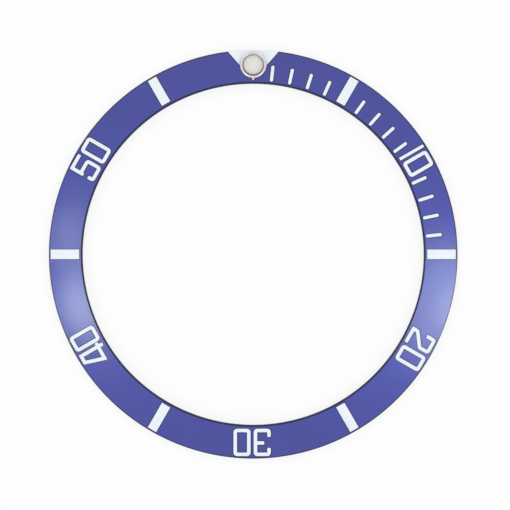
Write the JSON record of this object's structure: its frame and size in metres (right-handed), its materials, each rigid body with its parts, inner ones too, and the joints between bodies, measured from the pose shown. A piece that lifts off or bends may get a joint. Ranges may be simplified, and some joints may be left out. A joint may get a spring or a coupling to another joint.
{
  "type": "watch bezel insert",
  "caption": "Numbered ring insert for a rotating dive watch bezel: blue anodised aluminium, silver-white minute marks and numerals, and a luminous pearl at zero.",
  "frame": {"origin": "on the ring's axis, in the plane of its flat back face", "axes": "+Z out of the numbered face along the ring's axis, +Y from the centre through the zero triangle and its pearl, +X towards the 15-minute mark"},
  "size_m": [0.038, 0.038, 0.0015],
  "materials": {
    "blue_anodised_aluminium": "circular-brushed, dyed blue and anodised",
    "silver_white_lacquer": "hardened lacquer, faintly silvery",
    "polished_steel": "polished stainless steel",
    "luminous_compound": "matt cream luminous compound",
    "clear_acrylic": "polished clear acrylic"
  },
  "bodies": {
    "root": {"bar_05": "silver_white_lacquer", "bar_15": "silver_white_lacquer", "bar_25": "silver_white_lacquer", "bar_35": "silver_white_lacquer", "bar_45": "silver_white_lacquer", "bar_55": "silver_white_lacquer", "insert_ring": "blue_anodised_aluminium", "numeral_10": "silver_white_lacquer", "numeral_20": "silver_white_lacquer", "numeral_30": "silver_white_lacquer", "numeral_40": "silver_white_lacquer", "numeral_50": "silver_white_lacquer", "pearl_dome": "clear_acrylic", "pearl_lume": "luminous_compound", "pearl_setting": "polished_steel", "stroke_01": "silver_white_lacquer", "stroke_02": "silver_white_lacquer", "stroke_03": "silver_white_lacquer", "stroke_04": "silver_white_lacquer", "stroke_06": "silver_white_lacquer", "stroke_07": "silver_white_lacquer", "stroke_08": "silver_white_lacquer", "stroke_09": "silver_white_lacquer", "stroke_11": "silver_white_lacquer", "stroke_12": "silver_white_lacquer", "stroke_13": "silver_white_lacquer", "stroke_14": "silver_white_lacquer", "zero_triangle": "silver_white_lacquer"}
  },
  "joints": []
}
